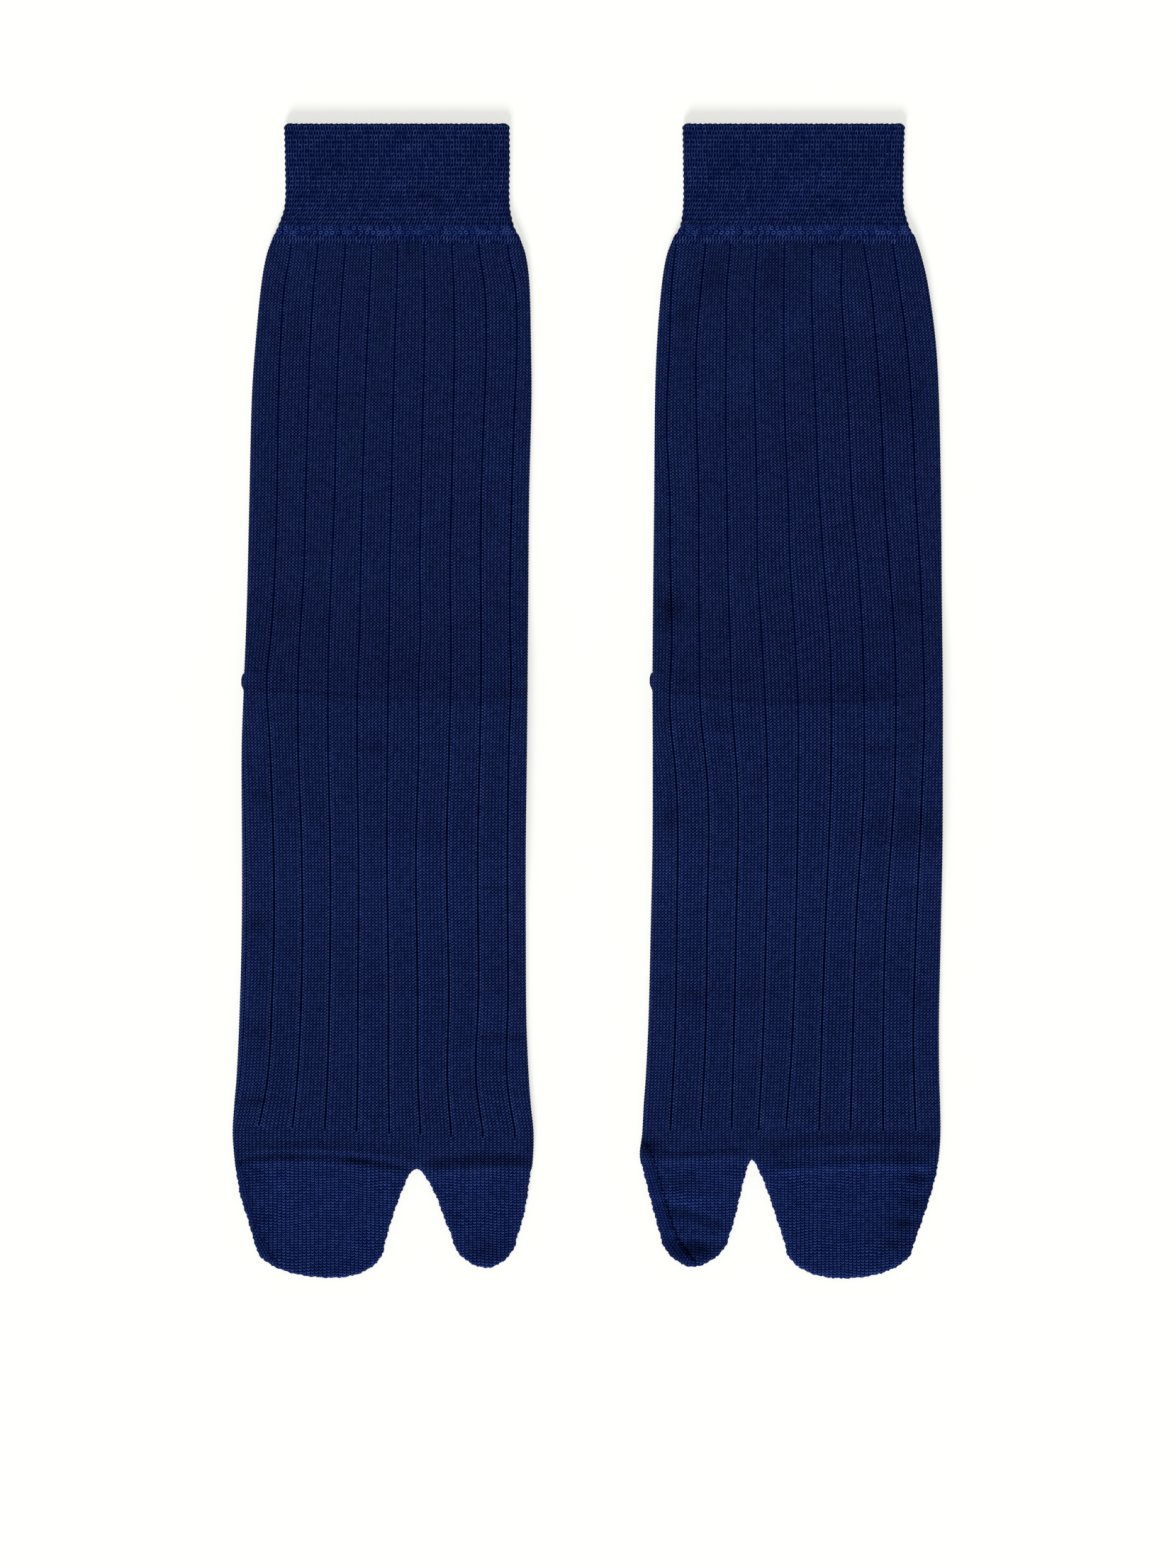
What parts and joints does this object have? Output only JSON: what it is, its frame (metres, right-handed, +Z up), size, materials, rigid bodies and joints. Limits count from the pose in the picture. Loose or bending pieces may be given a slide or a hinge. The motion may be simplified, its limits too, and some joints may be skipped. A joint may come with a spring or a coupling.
{
  "type": "pair of tabi socks",
  "caption": "Long knit socks with a split toe, laid flat side by side, ribbed along the instep with a small-holed cuff.",
  "frame": {"origin": "on the surface the socks lie on, below the middle of the pair's bounding box", "axes": "+Z up from the surface, +Y from the toes towards the cuffs, +X from the left sock to the right one, seen from above with the cuffs at the top"},
  "size_m": [0.237, 0.3852, 0.0057],
  "materials": {
    "cuff_knit": "matt cotton, tuck knit with rows of small holes",
    "sock_knit": "matt cotton, fine plain knit with narrow purl channels",
    "heel_knit": "matt cotton, fine plain knit"
  },
  "bodies": {
    "root": {"cuff_left": "cuff_knit", "cuff_right": "cuff_knit", "sock_left": "sock_knit", "sock_right": "sock_knit", "heel_left": "heel_knit", "heel_right": "heel_knit"}
  },
  "joints": []
}
